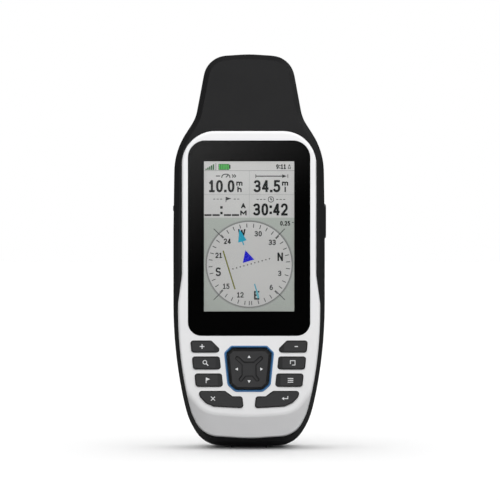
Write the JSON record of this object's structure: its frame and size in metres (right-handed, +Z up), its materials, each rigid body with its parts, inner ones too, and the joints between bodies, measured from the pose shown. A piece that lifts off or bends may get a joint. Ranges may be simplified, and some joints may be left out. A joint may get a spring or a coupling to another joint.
{
  "type": "handheld gps navigator",
  "caption": "Handheld GPS navigator with a white bezel on a black water-sealed body, colour display, keypad with rocker, raised antenna head, battery door and side caps.",
  "frame": {"origin": "centre of the flat foot at the base of the body, on the surface it stands on", "axes": "+X to the right as the user faces the display, +Y from the display to the back, +Z up towards the antenna head"},
  "size_m": [0.0669, 0.044, 0.1721],
  "materials": {
    "white_plastic": "satin white moulding",
    "black_plastic": "fine textured black moulding",
    "grip_rubber": "matte ribbed rubber",
    "key_rubber": "silk matte keys with white marks",
    "seal_rubber": "matte",
    "mat_rubber": "translucent silicone mat",
    "window_glass": "polished clear window",
    "mask_ink": "black printed film",
    "adhesive": "black adhesive tape",
    "display_glass": "display panel",
    "light_white": "white diffuser",
    "tinned_steel": "bright tinned sheet",
    "flex_film": "amber film",
    "ring_blue": "satin blue trim",
    "board_green": "green solder mask",
    "chip_black": "moulded chip packages",
    "stainless": "brushed stainless steel",
    "screw_black": "black oxide",
    "spring_steel": "nickel plated wire",
    "cell_jacket": "printed cell jacket, dark with a copper end",
    "copper": "bare copper strip",
    "brass": "machined brass",
    "ceramic_foam": "off white former",
    "lead_black": "thin coaxial lead"
  },
  "bodies": {
    "body": {"front_bezel": "white_plastic", "front_housing": "black_plastic", "rear_housing": "black_plastic", "mount_spine": "black_plastic", "left_grip": "grip_rubber", "right_grip": "grip_rubber", "housing_seal": "seal_rubber", "door_seal": "seal_rubber", "display_window": "window_glass", "window_mask": "mask_ink", "window_tape": "adhesive", "lcd_glass": "display_glass", "lcd_backlight": "light_white", "lcd_frame": "tinned_steel", "lcd_flex": "flex_film", "rocker_ring": "ring_blue", "keypad_mat": "mat_rubber", "dome_switches": "spring_steel", "main_board": "board_green", "processor_shield": "tinned_steel", "radio_shield": "tinned_steel", "board_chips": "chip_black", "beeper": "chip_black", "usb_port": "tinned_steel", "cap_anchor": "seal_rubber", "power_switch": "chip_black", "antenna_former": "ceramic_foam", "antenna_strips": "copper", "antenna_foot": "board_green", "antenna_bracket": "black_plastic", "antenna_lead": "lead_black", "battery_left": "cell_jacket", "battery_right": "cell_jacket", "negative_springs": "spring_steel", "spring_plates": "spring_steel", "positive_contacts": "spring_steel", "latch_insert": "brass", "housing_screws": "screw_black", "board_screws": "stainless", "spine_screws": "screw_black", "lanyard_bar": "stainless", "foot_pad": "seal_rubber"},
    "battery_door": {"battery_door": "black_plastic"},
    "d_ring": {"d_ring": "stainless"},
    "key_enter": {"key_enter": "key_rubber"},
    "key_find": {"key_find": "key_rubber"},
    "key_mark": {"key_mark": "key_rubber"},
    "key_menu": {"key_menu": "key_rubber"},
    "key_page": {"key_page": "key_rubber"},
    "key_quit": {"key_quit": "key_rubber"},
    "key_zoom_in": {"key_zoom_in": "key_rubber"},
    "key_zoom_out": {"key_zoom_out": "key_rubber"},
    "latch_stud": {"latch_stud": "stainless"},
    "power_button": {"power_button": "key_rubber"},
    "rocker_carrier": {"rocker_carrier": "chip_black"},
    "rocker_pad": {"rocker_pad": "key_rubber"},
    "usb_cap": {"usb_cap": "seal_rubber"}
  },
  "joints": [
    {"name": "key_zoom_in_press", "type": "slide", "parent": "body", "child": "key_zoom_in", "axis": [0, 1, 0], "range_m": [0, 0.0006], "stiffness_N_per_m": 1500},
    {"name": "key_zoom_out_press", "type": "slide", "parent": "body", "child": "key_zoom_out", "axis": [0, 1, 0], "range_m": [0, 0.0006], "stiffness_N_per_m": 1500},
    {"name": "key_find_press", "type": "slide", "parent": "body", "child": "key_find", "axis": [0, 1, 0], "range_m": [0, 0.0006], "stiffness_N_per_m": 1500},
    {"name": "key_page_press", "type": "slide", "parent": "body", "child": "key_page", "axis": [0, 1, 0], "range_m": [0, 0.0006], "stiffness_N_per_m": 1500},
    {"name": "key_mark_press", "type": "slide", "parent": "body", "child": "key_mark", "axis": [0, 1, 0], "range_m": [0, 0.0006], "stiffness_N_per_m": 1500},
    {"name": "key_menu_press", "type": "slide", "parent": "body", "child": "key_menu", "axis": [0, 1, 0], "range_m": [0, 0.0006], "stiffness_N_per_m": 1500},
    {"name": "key_quit_press", "type": "slide", "parent": "body", "child": "key_quit", "axis": [0, 1, 0], "range_m": [0, 0.0006], "stiffness_N_per_m": 1500},
    {"name": "key_enter_press", "type": "slide", "parent": "body", "child": "key_enter", "axis": [0, 1, 0], "range_m": [0, 0.0006], "stiffness_N_per_m": 1500},
    {"name": "rocker_tip_vertical", "type": "hinge", "parent": "body", "child": "rocker_carrier", "pos_m": [0, -0.0129, 0.0352], "axis": [1, 0, 0], "range_deg": [-4, 4], "stiffness_Nm_per_rad": 0.12},
    {"name": "rocker_tip_sideways", "type": "hinge", "parent": "rocker_carrier", "child": "rocker_pad", "pos_m": [0, -0.0129, 0.0352], "axis": [0, 0, 1], "range_deg": [-4, 4], "stiffness_Nm_per_rad": 0.12},
    {"name": "power_press", "type": "slide", "parent": "body", "child": "power_button", "axis": [-1, 0, 0], "range_m": [0, 0.0007], "stiffness_N_per_m": 2000},
    {"name": "usb_cap_hinge", "type": "hinge", "parent": "body", "child": "usb_cap", "pos_m": [-0.0329, -0.0038, 0.0914], "axis": [0, -1, 0], "range_deg": [0, 105]},
    {"name": "battery_door_lift", "type": "slide", "parent": "body", "child": "battery_door", "axis": [0, 1, 0], "range_m": [0, 0.03]},
    {"name": "latch_turn", "type": "hinge", "parent": "battery_door", "child": "latch_stud", "pos_m": [0, 0.0106, 0.025], "axis": [0, 1, 0], "range_deg": [0, 90]},
    {"name": "d_ring_fold", "type": "hinge", "parent": "latch_stud", "child": "d_ring", "pos_m": [0, 0.0106, 0.025], "axis": [1, 0, 0], "range_deg": [0, 90]}
  ]
}
